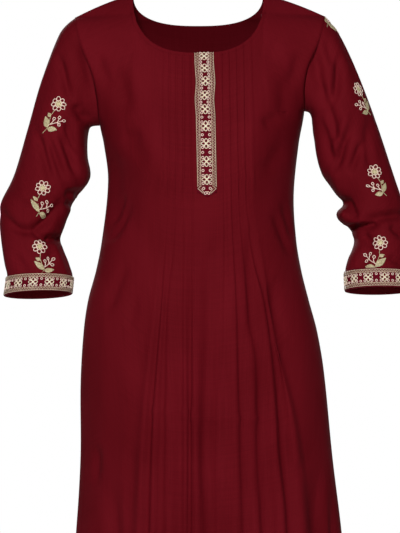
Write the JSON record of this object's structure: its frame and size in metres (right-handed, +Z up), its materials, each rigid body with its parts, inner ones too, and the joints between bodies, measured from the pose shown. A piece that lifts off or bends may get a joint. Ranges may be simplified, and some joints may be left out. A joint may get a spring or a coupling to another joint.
{
  "type": "salwar kameez",
  "caption": "Worn-shape tunic with a scoop neck, pintucked yoke, embroidered placket and cuffs and side slits, over plain tapered trousers.",
  "frame": {"origin": "between the wearer's shoulders, level with the high points where the shoulder seams meet the neckline, in the plane of the side seams", "axes": "+Z up along the wearer, -Y to the front, +X to the wearer's left"},
  "size_m": [0.6583, 0.275, 1.29],
  "materials": {
    "kameez_cloth": "plain-woven cotton silk, wine red, with a soft sheen",
    "border": "cream and gold thread embroidery on wine red cloth",
    "salwar_cloth": "plain-woven cotton silk, wine red"
  },
  "bodies": {
    "root": {"kameez_front": "kameez_cloth", "kameez_back": "kameez_cloth", "sleeve_left": "kameez_cloth", "sleeve_right": "kameez_cloth", "placket": "border", "cuff_band_left": "border", "cuff_band_right": "border", "salwar_waist_casing": "salwar_cloth", "salwar_leg_left": "salwar_cloth", "salwar_leg_right": "salwar_cloth", "salwar_ankle_band_left": "salwar_cloth", "salwar_ankle_band_right": "salwar_cloth"}
  },
  "joints": []
}
